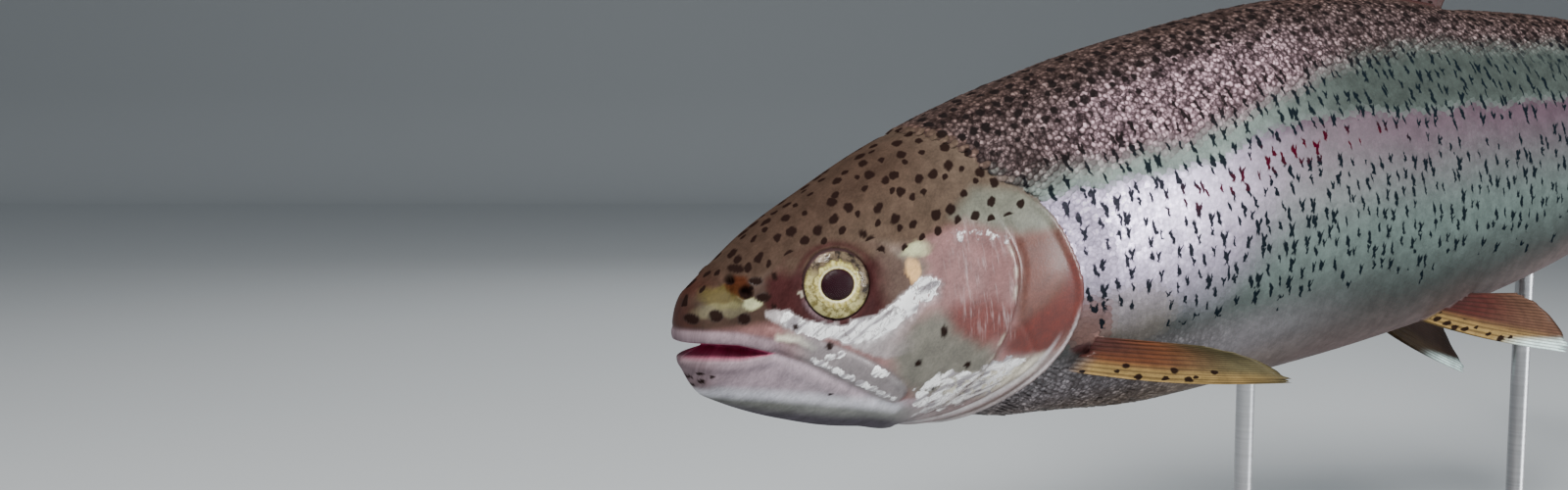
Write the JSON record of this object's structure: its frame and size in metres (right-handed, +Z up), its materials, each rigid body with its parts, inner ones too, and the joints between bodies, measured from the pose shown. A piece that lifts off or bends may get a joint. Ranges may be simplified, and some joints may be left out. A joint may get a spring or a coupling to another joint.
{
  "type": "rainbow trout model",
  "caption": "Life-size still model of an adult rainbow trout, head low and tail swinging, held over a flat base by slim rods.",
  "frame": {"origin": "on the surface it stands on, under the middle of the whole model's box", "axes": "+X from head to tail, +Z up; the fish's left flank faces -Y"},
  "size_m": [0.4836, 0.1, 0.2429],
  "materials": {
    "skin": "wet scaly skin: speckled olive back, silver flank with a rose band, pale belly",
    "fins": "thin wet fin membrane over fine rays, orange-brown to grey, with dark spots",
    "eyes": "clear cornea over a gold iris and a dark maroon pupil",
    "base": "dark satin hardwood",
    "rods": "fine brushed steel"
  },
  "bodies": {
    "root": {"head": "skin", "lower_jaw": "skin", "gill_cover_left": "skin", "gill_cover_right": "skin", "trunk_front": "skin", "trunk_rear": "skin", "tail_stalk": "skin", "dorsal_fin": "fins", "adipose_fin": "fins", "anal_fin": "fins", "tail_fin": "fins", "pectoral_fin_left": "fins", "pectoral_fin_right": "fins", "pelvic_fin_left": "fins", "pelvic_fin_right": "fins", "eye_left": "eyes", "eye_right": "eyes", "stand_base": "base", "stand_rod_front": "rods", "stand_rod_rear": "rods"}
  },
  "joints": []
}
